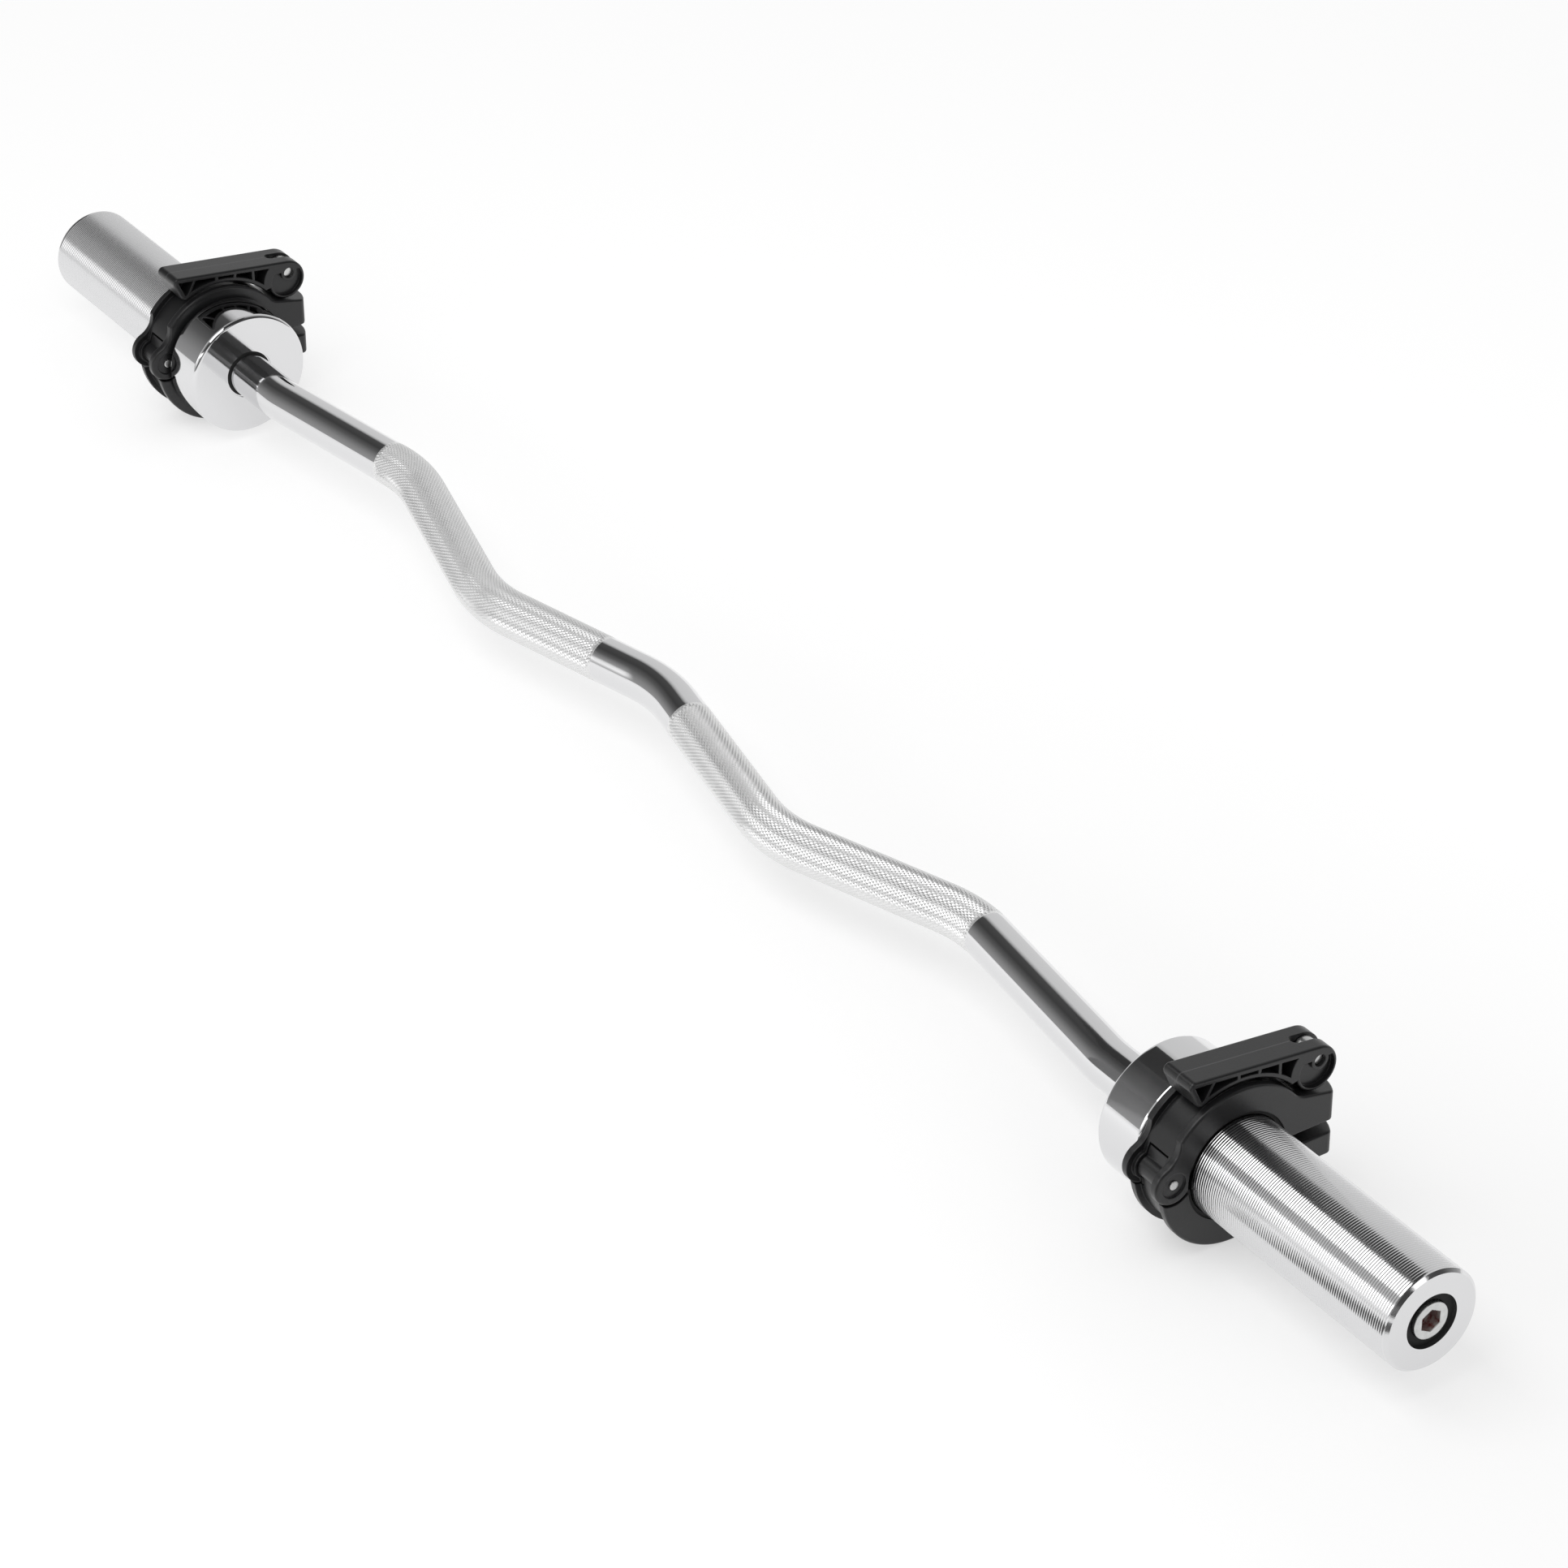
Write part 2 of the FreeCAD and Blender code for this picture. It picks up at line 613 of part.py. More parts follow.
def make_draw_bolt():
    """Eye bolt that hangs from the cam's pin and pulls the lower lug up."""
    eye_start = collar_middle - eye_width / 2
    bolt_low = lower_lug_low - nut_height - bolt_tip
    shank = upright(bolt_radius, bolt_low, cam_pin[1], bolt_out)
    bolt = shank.fuse(cylinder(eye_radius, eye_start, eye_start + eye_width, cam_pin))
    hole = cylinder(lever_pin_radius + running_clearance, eye_start, eye_start + eye_width, cam_pin)
    return bolt.cut(hole).removeSplitter()


def make_bolt_nut():
    """Nut of the draw bolt, seated on the lower lug."""
    low = lower_lug_low - nut_height
    nut = hexagon(nut_size, nut_height, Vector(collar_middle, bolt_out, low), Vector(0, 0, 1))
    return nut.cut(upright(bolt_radius + press_clearance, low, lower_lug_low, bolt_out))


side_pieces = {
    "sleeve": make_sleeve(),
    "flange": make_flange(),
    "shaft_seal": make_shaft_seal(),
    "inner_bush": make_bush(shoulder_at + end_play),
    "outer_bush": make_bush(shaft_end - end_play - bush_length),
    "thrust_washer": make_thrust_washer(),
    "end_bolt": make_end_bolt(),
    "end_ring": make_end_ring(),
    "collar_upper_jaw": make_upper_jaw(),
    "collar_lower_jaw": make_lower_jaw(),
    "collar_upper_pad": make_pad(pad_end_angle, parting_angle - pad_end_angle),
    "collar_lower_pad": make_pad(parting_angle + pad_end_angle, 360.0 - pad_end_angle),
    "collar_hinge_pin": make_hinge_pin(),
    "collar_lever": make_lever(),
    "collar_lever_pin": make_lever_pin(),
    "collar_draw_bolt": make_draw_bolt(),
    "collar_bolt_nut": make_bolt_nut(),
}

nodes = {"shaft": make_shaft()}
for name, piece in side_pieces.items():
    nodes["right_" + name] = piece
    nodes["left_" + name] = piece.mirror(Vector(0, 0, 0), Vector(1, 0, 0))

# The whole is moved so that the origin lies on the floor, under the middle of its box
box = Part.makeCompound(list(nodes.values())).optimalBoundingBox(False, False)
to_floor = Vector(0, -box.Center.y, -box.ZMin)
os.makedirs("parts", exist_ok=True)
for name, piece in nodes.items():
    piece.translate(to_floor)
    piece.exportStep("parts/" + name + ".step")

print("box", box.XLength, box.YLength, box.ZLength)
for name, place in (("bar axis", (0.0, 0.0)), ("hinge pin", hinge), ("lever pin", cam_pin)):
    print(name, "at Y", place[0] + to_floor.y, "Z", place[1] + to_floor.z)
print("collar middle", collar_middle)
print("loading stretch from", collar_end + collar_gap, "to", half_length - sleeve_chamfer)
print("draw bolt from hinge pin", bolt_out + hinge_out)
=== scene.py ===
"""Looks of the curl bar: chromed shaft with rolled grips, ridged sleeves, polished flanges, moulded collars.

Metres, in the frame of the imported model. The bar lies along X, and Z is up.
"""
import math

import bpy
from mathutils import Matrix, Vector


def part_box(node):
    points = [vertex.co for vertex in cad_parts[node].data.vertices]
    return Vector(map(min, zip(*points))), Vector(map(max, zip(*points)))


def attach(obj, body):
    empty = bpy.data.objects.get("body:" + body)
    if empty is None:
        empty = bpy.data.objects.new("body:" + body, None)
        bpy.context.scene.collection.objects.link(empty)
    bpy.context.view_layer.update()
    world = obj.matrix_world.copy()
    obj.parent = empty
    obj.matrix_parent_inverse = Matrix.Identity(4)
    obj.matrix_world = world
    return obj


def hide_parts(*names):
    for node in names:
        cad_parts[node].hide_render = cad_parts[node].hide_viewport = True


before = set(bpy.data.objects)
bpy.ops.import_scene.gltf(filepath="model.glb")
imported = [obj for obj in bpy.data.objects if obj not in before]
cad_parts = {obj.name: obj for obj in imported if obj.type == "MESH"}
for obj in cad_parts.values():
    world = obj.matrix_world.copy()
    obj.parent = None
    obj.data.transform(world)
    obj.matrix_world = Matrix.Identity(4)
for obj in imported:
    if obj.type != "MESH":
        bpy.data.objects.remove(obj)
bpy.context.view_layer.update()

mm = 0.001

# The bar's axis and the places along it, from the frame
sleeve_low, sleeve_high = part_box("right_sleeve")
flange_low, flange_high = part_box("right_flange")
shaft_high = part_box("shaft")[1]
bolt_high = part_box("right_end_bolt")[1]
lever_low, lever_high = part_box("right_collar_lever")
bar_axis = (sleeve_low + sleeve_high) / 2
bar_axis.x = 0.0
sleeve_radius = (sleeve_high.z - sleeve_low.z) / 2
flange_face = flange_low.x
sleeve_end = sleeve_high.x
lever_middle = (lever_low.x + lever_high.x) / 2

# Shaft, as the solid is bent
shaft_radius = 12.0 * mm
journal_radius = 10.0 * mm
camber_tilt = math.radians(15.0)
outer_straight = 38.0 * mm
inner_bend_at = 133.5 * mm
grip_bend_rise = 13.6 * mm
inner_bend_drop = 17.0 * mm
middle_bend_rise = 7.6 * mm
bend_radius = 95.0 * mm
shoulder_inside = 6.0 * mm

# Small ring on which the mesh of a journal's end face closes
journal_centre_radius = 0.2 * mm

# Rolled diamonds of the grips, steep as a rolling tool presses them. Their real width of about 1.5 mm is
# drawn a little coarser so that they show
diamonds_around = 42
diamond_lean = math.radians(30.0)
diamond_height = 0.42 * mm
diamond_proud = 0.10 * mm
fading_rows = 2
grip_stretches = ((-277.0 * mm, -42.0 * mm), (32.0 * mm, 269.0 * mm))
plain_step = 2.5 * mm

# Turned ridges of the sleeves. Their real pitch of about 1 mm is drawn two fifths coarser so that they show
ridge_pitch = 1.4 * mm
ridge_slope = math.radians(25.0)
ridge_height = ridge_pitch * math.tan(ridge_slope) / math.pi
ridge_samples = 6
ridge_end_margin = 1.0 * mm
sleeve_bore_radius = 13.5 * mm
sleeve_chamfer = 1.5 * mm
around_sleeve = 144
sharp_turn = math.radians(30.0)

# Seal lip on the shaft, and socket of the end bolts
seal_lip_radius = 13.3 * mm
socket_radius = 6.0 * mm
socket_lip = 0.3 * mm

# Surroundings as brightness by angle, from the far horizon over the top to the near horizon
sky_levels = (
    (0, 0.95), (58, 0.90), (67, 0.65), (77, 0.10), (108, 0.07),
    (130, 0.15), (160, 0.36), (180, 0.45))
side_levels = (
    (0, 0.95), (50, 0.85), (77, 0.58), (105, 0.55), (125, 0.75),
    (150, 0.80), (157, 2.40), (167, 2.40), (176, 0.90))

# Even light that matt surfaces get from the surroundings
sky_fill = 0.80

# Glow of the paper by the distance from the bar's near end, of which the part along the bar counts less.
# The lower glow by the bar is painted shade, which deepens the bar's shadow on the paper
glow_starts = 0.10
glow_ends = 0.45
glow_dimmed_by_bar = 0.50
glow_far = 0.61
along_share = 0.4

# Lean of a direction along the bar at which the sides take over from the sky, and at which they fade
side_starts = -0.62
side_rules = -0.46
fade_starts = -0.10
fade_ends = 0.50
faded_share = 0.1

# Lean and brightness of the pale screen beyond the bar's far end
screen_edge = -0.86
screen_level = 0.80

# Camera, placed from the bar's axis
camera_from_axis = Vector((1.823197, -1.137608, 1.316483))
camera_azimuth = math.radians(56.29267)
camera_elevation = math.radians(32.50137)
camera_roll = math.radians(-0.30503)
camera_lens = 116.14

# Places of a Mix node's sockets, whose names repeat for each kind of data
mix_share = 0
first_number = 2
second_number = 3
first_colour = 6
second_colour = 7
mixed_colour = 2


def linear(code):
    """Linear colour of an sRGB hex value."""
    colour = []
    for place in (1, 3, 5):
        share = int(code[place:place + 2], 16) / 255
        colour.append(share / 12.92 if share <= 0.04045 else ((share + 0.055) / 1.055) ** 2.4)
    return colour + [1.0]


def add(tree, kind, inputs=(), **settings):
    """Adds a node, with its settings, and its inputs as values or as links from other nodes' outputs."""
    node = tree.nodes.new(kind)
    for name, value in settings.items():
        setattr(node, name, value)
    for name, value in dict(inputs).items():
        if isinstance(value, bpy.types.NodeSocket):
            tree.links.new(value, node.inputs[name])
        else:
            node.inputs[name].default_value = value
    return node


def new_material(name):
    """Material with an empty tree and its shader, wired to the output."""
    material = bpy.data.materials.new(name)
    material.use_nodes = True
    tree = material.node_tree
    tree.nodes.clear()
    shader = add(tree, "ShaderNodeBsdfPrincipled")
    add(tree, "ShaderNodeOutputMaterial", {"Surface": shader.outputs[0]})
    return material, tree, shader


def polished_chrome():
    """Chrome plate over polished steel: a mirror with a faint haze and the polishing wheel's soft ripple."""
    haze_width = 18 * mm
    ripple_width = 6 * mm
    ripple_depth = 0.02 * mm
    material, tree, shader = new_material("chrome_plate_polished")
    shader.inputs["Base Color"].default_value = linear("#E0E0E1")
    shader.inputs["Metallic"].default_value = 1.0
    place = add(tree, "ShaderNodeTexCoord").outputs["Object"]
    haze = add(tree, "ShaderNodeTexNoise", {"Vector": place, "Scale": 1 / haze_width, "Detail": 4.0})
    gloss = add(tree, "ShaderNodeMapRange", {"Value": haze.outputs[0], "To Min": 0.035, "To Max": 0.10})
    tree.links.new(gloss.outputs[0], shader.inputs["Roughness"])
    ripple = add(tree, "ShaderNodeTexNoise", {"Vector": place, "Scale": 1 / ripple_width, "Detail": 1.0})
    bump = add(
        tree, "ShaderNodeBump", {"Height": ripple.outputs[0], "Strength": 0.02, "Distance": ripple_depth})
    tree.links.new(bump.outputs[0], shader.inputs["Normal"])
    return material


def rolled_chrome():
    """Chrome plate over rolled diamonds: each facet is a small mirror, paled by the chalk dust of hands."""
    dust_width = 9 * mm
    material, tree, shader = new_material("chrome_plate_rolled")
    shader.inputs["Base Color"].default_value = linear("#EDEDED")
    place = add(tree, "ShaderNodeTexCoord").outputs["Object"]
    dust = add(tree, "ShaderNodeTexNoise", {"Vector": place, "Scale": 1 / dust_width, "Detail": 5.0})
    gloss = add(tree, "ShaderNodeMapRange", {"Value": dust.outputs[0], "To Min": 0.18, "To Max": 0.28})
    tree.links.new(gloss.outputs[0], shader.inputs["Roughness"])
    bare = add(tree, "ShaderNodeMapRange", {"Value": dust.outputs[0], "To Min": 0.78, "To Max": 0.60})
    tree.links.new(bare.outputs[0], shader.inputs["Metallic"])
    return material


def turned_chrome():
    """Chrome plate over a turned sleeve: ridges that catch the light, with the grain that a worn tool leaves.

    The grain is drawn about three times as coarse as it is so that it shows.
    """
    haze_width = 12 * mm
    grain_width = 1.2 * mm
    grain_depth = 0.05 * mm
    material, tree, shader = new_material("chrome_plate_turned")
    shader.inputs["Base Color"].default_value = linear("#E0E0E1")
    shader.inputs["Metallic"].default_value = 1.0
    place = add(tree, "ShaderNodeTexCoord").outputs["Object"]
    haze = add(tree, "ShaderNodeTexNoise", {"Vector": place, "Scale": 1 / haze_width, "Detail": 4.0})
    gloss = add(tree, "ShaderNodeMapRange", {"Value": haze.outputs[0], "To Min": 0.10, "To Max": 0.20})
    tree.links.new(gloss.outputs[0], shader.inputs["Roughness"])
    grain = add(tree, "ShaderNodeTexNoise", {"Vector": place, "Scale": 1 / grain_width, "Detail": 2.0})
    bump = add(tree, "ShaderNodeBump", {"Height": grain.outputs[0], "Strength": 0.3, "Distance": grain_depth})
    tree.links.new(bump.outputs[0], shader.inputs["Normal"])
    return material


def zinc_steel(name="steel_zinc_plated"):
    """Zinc-plated steel pins and bolts: pale grey, slightly cloudy, with edges rounded by the plating."""
    cloud_width = 3 * mm
    edge_rounding = 0.8 * mm
    material, tree, shader = new_material(name)
    shader.inputs["Metallic"].default_value = 1.0
    place = add(tree, "ShaderNodeTexCoord").outputs["Object"]
    cloud = add(tree, "ShaderNodeTexNoise", {"Vector": place, "Scale": 1 / cloud_width, "Detail": 5.0})
    tone = add(tree, "ShaderNodeValToRGB", {"Fac": cloud.outputs[0]})
    tone.color_ramp.elements[0].color = linear("#B9BABB")
    tone.color_ramp.elements[1].color = linear("#E2E2E0")
    tree.links.new(tone.outputs[0], shader.inputs["Base Color"])
    gloss = add(tree, "ShaderNodeMapRange", {"Value": cloud.outputs[0], "To Min": 0.20, "To Max": 0.38})
    tree.links.new(gloss.outputs[0], shader.inputs["Roughness"])
    edge = add(tree, "ShaderNodeBevel", {"Radius": edge_rounding}, samples=6)
    tree.links.new(edge.outputs[0], shader.inputs["Normal"])
    return material


def axis_distance(tree):
    """Distance of a place on a piece from the bar's axis."""
    place = add(tree, "ShaderNodeTexCoord").outputs["Object"]
    from_axis = add(tree, "ShaderNodeVectorMath", {0: place, 1: bar_axis}, operation="SUBTRACT")
    across = add(
        tree, "ShaderNodeVectorMath", {0: from_axis.outputs[0], 1: (0.0, 1.0, 1.0)}, operation="MULTIPLY")
    return add(tree, "ShaderNodeVectorMath", {0: across.outputs[0]}, operation="LENGTH").outputs["Value"]


def rusted_socket():
    """Zinc-plated steel whose socket the plating missed: red-brown rust over grey steel inside it."""
    stain_width = 3 * mm
    material = zinc_steel("steel_zinc_plated_rusted_socket")
    tree = material.node_tree
    shader = tree.nodes["Principled BSDF"]
    plated = shader.inputs["Base Color"].links[0].from_socket
    place = add(tree, "ShaderNodeTexCoord").outputs["Object"]
    along = add(tree, "ShaderNodeSeparateXYZ", {0: place})
    from_middle = add(tree, "ShaderNodeMath", {0: along.outputs[0]}, operation="ABSOLUTE")
    near_axis = add(
        tree, "ShaderNodeMath", {0: axis_distance(tree), 1: socket_radius}, operation="LESS_THAN")
    socket_top = bolt_high.x - socket_lip
    under_face = add(
        tree, "ShaderNodeMath", {0: from_middle.outputs[0], 1: socket_top}, operation="LESS_THAN")
    inside = add(
        tree, "ShaderNodeMath", {0: near_axis.outputs[0], 1: under_face.outputs[0]}, operation="MULTIPLY")
    spread = add(tree, "ShaderNodeTexNoise", {"Vector": place, "Scale": 1 / stain_width, "Detail": 4.0})
    rust = add(tree, "ShaderNodeValToRGB", {"Fac": spread.outputs[0]})
    rust.color_ramp.elements[0].position = 0.38
    rust.color_ramp.elements[0].color = linear("#6E2C2A")
    rust.color_ramp.elements[1].position = 0.62
    rust.color_ramp.elements[1].color = linear("#A09A96")
    tone = add(
        tree, "ShaderNodeMix",
        {mix_share: inside.outputs[0], first_colour: plated, second_colour: rust.outputs[0]},
        data_type="RGBA")
    tree.links.new(tone.outputs[mixed_colour], shader.inputs["Base Color"])
    bare = add(tree, "ShaderNodeMapRange", {"Value": inside.outputs[0], "To Min": 1.0, "To Max": 0.25})
    tree.links.new(bare.outputs[0], shader.inputs["Metallic"])
    return material


def moulded_nylon(name="glass_filled_nylon_moulded", line_at=None):
    """Glass-filled nylon from a spark-eroded mould: near black, with a fine grain that breaks its soft sheen.

    Its edges are rounded, as a mould's are, and catch the light. The grain is drawn about twice as coarse as
    it is so that it shows. A lever has a pale line painted at its middle, where the halves of its mould met:
    a painted highlight for the light that the seam catches.
    """
    grain_width = 0.9 * mm
    grain_depth = 0.06 * mm
    flow_width = 14 * mm
    line_half_width = 0.3 * mm
    edge_rounding = 0.7 * mm
    material, tree, shader = new_material(name)
    place = add(tree, "ShaderNodeTexCoord").outputs["Object"]
    grain = add(tree, "ShaderNodeTexNoise", {"Vector": place, "Scale": 1 / grain_width, "Detail": 3.0})
    flow = add(tree, "ShaderNodeTexNoise", {"Vector": place, "Scale": 1 / flow_width, "Detail": 3.0})
    tone = add(tree, "ShaderNodeValToRGB", {"Fac": flow.outputs[0]})
    tone.color_ramp.elements[0].color = linear("#161617")
    tone.color_ramp.elements[1].color = linear("#212122")
    colour = tone.outputs[0]
    if line_at:
        along = add(tree, "ShaderNodeSeparateXYZ", {0: place})
        from_middle = add(tree, "ShaderNodeMath", {0: along.outputs[0]}, operation="ABSOLUTE")
        on_painted_seam_highlight = add(
            tree, "ShaderNodeMath", {0: from_middle.outputs[0], 1: line_at, 2: line_half_width},
            operation="COMPARE")
        # Pale line at the mould's seam: a painted highlight for the light that the seam catches
        pale = linear("#3E3E3F")
        shade = add(
            tree, "ShaderNodeMix",
            {mix_share: on_painted_seam_highlight.outputs[0], first_colour: colour, second_colour: pale}, data_type="RGBA")
        colour = shade.outputs[mixed_colour]
    tree.links.new(colour, shader.inputs["Base Color"])
    gloss = add(tree, "ShaderNodeMapRange", {"Value": grain.outputs[0], "To Min": 0.26, "To Max": 0.40})
    tree.links.new(gloss.outputs[0], shader.inputs["Roughness"])
    edge = add(tree, "ShaderNodeBevel", {"Radius": edge_rounding}, samples=6)
    bump = add(
        tree, "ShaderNodeBump",
        {"Height": grain.outputs[0], "Strength": 0.5, "Distance": grain_depth, "Normal": edge.outputs[0]})
    tree.links.new(bump.outputs[0], shader.inputs["Normal"])
    return material


def moulded_rubber(name="nitrile_rubber_moulded"):
    """Nitrile rubber, pressed in a mould: matt black with a faint bloom."""
    bloom_width = 4 * mm
    material, tree, shader = new_material(name)
    place = add(tree, "ShaderNodeTexCoord").outputs["Object"]
    bloom = add(tree, "ShaderNodeTexNoise", {"Vector": place, "Scale": 1 / bloom_width, "Detail": 4.0})
    tone = add(tree, "ShaderNodeValToRGB", {"Fac": bloom.outputs[0]})
    tone.color_ramp.elements[0].color = linear("#141414")
    tone.color_ramp.elements[1].color = linear("#1F1F1F")
    tree.links.new(tone.outputs[0], shader.inputs["Base Color"])
    shader.inputs["Roughness"].default_value = 0.75
    return material


def cased_rubber():
    """Rubber seal pressed into a chromed steel case: a matt black lip with a thin bright ring round it."""
    material = moulded_rubber("nitrile_rubber_in_chromed_case")
    tree = material.node_tree
    shader = tree.nodes["Principled BSDF"]
    lip = shader.inputs["Base Color"].links[0].from_socket
    outside_lip = add(
        tree, "ShaderNodeMath", {0: axis_distance(tree), 1: seal_lip_radius}, operation="GREATER_THAN")
    case = outside_lip.outputs[0]
    bright = linear("#E0E0E1")
    tone = add(
        tree, "ShaderNodeMix", {mix_share: case, first_colour: lip, second_colour: bright},
        data_type="RGBA")
    tree.links.new(tone.outputs[mixed_colour], shader.inputs["Base Color"])
    tree.links.new(case, shader.inputs["Metallic"])
    gloss = add(tree, "ShaderNodeMapRange", {"Value": case, "To Min": 0.75, "To Max": 0.12})
    tree.links.new(gloss.outputs[0], shader.inputs["Roughness"])
    return material


def sintered_bronze():
    """Oil-filled sintered bronze of the bushes: brown gold, dull and speckled with pores."""
    pore_width = 0.6 * mm
    material, tree, shader = new_material("sintered_bronze")
    shader.inputs["Metallic"].default_value = 1.0
    place = add(tree, "ShaderNodeTexCoord").outputs["Object"]
    pores = add(tree, "ShaderNodeTexNoise", {"Vector": place, "Scale": 1 / pore_width, "Detail": 2.0})
    tone = add(tree, "ShaderNodeValToRGB", {"Fac": pores.outputs[0]})
    tone.color_ramp.elements[0].color = linear("#6E5327")
    tone.color_ramp.elements[1].color = linear("#A98347")
    tree.links.new(tone.outputs[0], shader.inputs["Base Color"])
    shader.inputs["Roughness"].default_value = 0.45
    return material


def mesh_piece(name, points, faces, material, body, node):
    """Smooth mesh that stands for a solid of the frame."""
    mesh = bpy.data.meshes.new(name)
    mesh.from_pydata(points, [], faces)
    mesh.validate()
    mesh.shade_smooth()
    mesh.materials.append(material)
    piece = bpy.data.objects.new(name, mesh)
    bpy.context.scene.collection.objects.link(piece)
    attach(piece, body)
    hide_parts(node)
    return piece


def ring_faces(rings, around):
    """Four-sided faces between neighbouring rings of points."""
    faces = []
    for ring in range(rings - 1):
        for place in range(around):
            beside = (place + 1) % around
            start = ring * around
            faces.append((start + place, start + beside, start + around + beside, start + around + place))
    return faces


def bends():
    """Arcs of the shaft's centre line, as (first point, last point, centre) in its own plane."""
    outer_bend_at = flange_face - outer_straight
    half = [
        (inner_bend_at, -inner_bend_drop),
        ((inner_bend_at + outer_bend_at) / 2, grip_bend_rise),
        (outer_bend_at, 0.0),
        (flange_face + shoulder_inside, 0.0),
    ]
    places = [(-along, rise) for along, rise in reversed(half)] + [(0.0, middle_bend_rise)] + half
    corners = [Vector(place) for place in places]
    arcs = []
    for before, corner, after in zip(corners, corners[1:], corners[2:]):
        back = (before - corner).normalized()
        ahead = (after - corner).normalized()
        half_turn = back.angle(ahead) / 2
        reach = bend_radius / math.tan(half_turn)
        centre = corner + (back + ahead).normalized() * bend_radius / math.sin(half_turn)
        arcs.append((corner + back * reach, corner + ahead * reach, centre))
    return arcs


shaft_arcs = bends()


def centre_line(along):
    """Rise and slope of the shaft's centre line at a place along the bar."""
    last = Vector((-flange_face - shoulder_inside, 0.0))
    for first, end, centre in shaft_arcs:
        if along < first.x:
            slope = (first.y - last.y) / (first.x - last.x)
            return last.y + slope * (along - last.x), slope
        if along <= end.x:
            side = 1.0 if first.y > centre.y else -1.0
            height = math.sqrt(bend_radius ** 2 - (along - centre.x) ** 2)
            return centre.y + side * height, -side * (along - centre.x) / height
        last = end
    return 0.0, 0.0


def shaft_ring(along, radii):
    """Points round the shaft, square to its centre line."""
    rise, slope = centre_line(along)
    lean = math.atan(slope)
    up = Vector((0.0, math.cos(camber_tilt), math.sin(camber_tilt)))
    across = Vector((0.0, -math.sin(camber_tilt), math.cos(camber_tilt)))
    outward = up * math.cos(lean) - Vector((math.sin(lean), 0.0, 0.0))
    middle = bar_axis + Vector((along, 0.0, 0.0)) + up * rise
    points = []
    for place, radius in enumerate(radii):
        angle = 2 * math.pi * place / len(radii)
        points.append(middle + (outward * math.cos(angle) + across * math.sin(angle)) * radius)
    return points


def make_shaft(plain, rolled):
    """Bent shaft with plain stretches, two rolled grips and a journal at each end."""
    around = 2 * diamonds_around
    diamond_width = 2 * math.pi * shaft_radius / diamonds_around
    row = diamond_width / math.tan(diamond_lean) / 2
    plain_radii = [shaft_radius] * around
    low = shaft_radius + diamond_proud - diamond_height
    # Each row is a place along the bar, its radii, and whether it is rolled
    rows = []
    along = -flange_face - shoulder_inside
    end = -along
    # A plain run shares its rings with the grips beside it, and the last, empty stretch ends the shaft
    first = 0
    for start, stop in grip_stretches + ((end, end),):
        steps = max(1, round((start - along) / plain_step))
        last = steps if stop > start else steps + 1
        rows += [(along + (start - along) * step / steps, plain_radii, False) for step in range(first, last)]
        first = 1
        if stop > start:
            count = round((stop - start) / row)
            for step in range(count + 1):
                share = min(1.0, step / fading_rows, (count - step) / fading_rows)
                heights = [low + diamond_height * ((place + step) % 2) for place in range(around)]
                raised = [shaft_radius + (height - shaft_radius) * share for height in heights]
                rows.append((start + (stop - start) * step / count, raised, True))
        along = stop
    journal_end = shaft_high.x
    journal = [(end, journal_radius), (journal_end, journal_radius), (journal_end, journal_centre_radius)]
    rings = [(-place, [radius] * around, False) for place, radius in reversed(journal)]
    rings += rows
    rings += [(place, [radius] * around, False) for place, radius in journal]
    points = []
    for place, radii, _ in rings:
        points += shaft_ring(place, radii)
    faces = []
    grip_faces = []
    for ring in range(len(rings) - 1):
        in_grip = rings[ring][2] and rings[ring + 1][2]
        base = ring * around
        for place in range(around):
            beside = (place + 1) % around
            corners = (base + place, base + beside, base + around + beside, base + around + place)
            if not in_grip:
                faces.append(corners)
                continue
            shift = (place + ring) % 2
            grip_faces.append(len(faces))
            faces.append((corners[shift], corners[shift + 1], corners[(shift + 2) % 4]))
            grip_faces.append(len(faces))
            faces.append((corners[shift], corners[(shift + 2) % 4], corners[(shift + 3) % 4]))
    piece = mesh_piece("grip_shaft", points, faces, plain, "shaft", "shaft")
    piece.data.materials.append(rolled)
    for index in grip_faces:
        piece.data.polygons[index].material_index = 1
        piece.data.polygons[index].use_smooth = False


def turned_piece(name, profile, around, material, body, node, side):
    """Closed ring turned about the bar's axis from (along, radius) points, on the left or right side."""
    points = []
    for along, radius in profile + profile[:1]:
        for place in range(around):
            angle = side * 2 * math.pi * place / around
            turn = Vector((0.0, math.cos(angle), math.sin(angle)))
            points.append(bar_axis + Vector((side * along, 0.0, 0.0)) + turn * radius)
    faces = ring_faces(len(profile) + 1, around)
    piece = mesh_piece(name, points, faces, material, body, node)
    piece.data.set_sharp_from_angle(angle=sharp_turn)


def sleeve_profile():
    """Outline of a sleeve, with its ridges from the flange to the chamfered end."""
    start = sleeve_low.x
    ridges_start = flange_high.x + ridge_end_margin
    ridges_end = sleeve_end - sleeve_chamfer - ridge_end_margin
    count = round((ridges_end - ridges_start) / ridge_pitch)
    profile = [(start, sleeve_bore_radius), (start, sleeve_radius - ridge_height)]
    for step in range(count * ridge_samples + 1):
        along = ridges_start + (ridges_end - ridges_start) * step / (count * ridge_samples)
        wave = (1 + math.cos(2 * math.pi * step / ridge_samples)) / 2
        profile.append((along, sleeve_radius - ridge_height * wave))
    profile.append((sleeve_end - sleeve_chamfer, sleeve_radius))
    profile.append((sleeve_end, sleeve_radius - sleeve_chamfer))
    profile.append((sleeve_end, sleeve_bore_radius))
    return profile


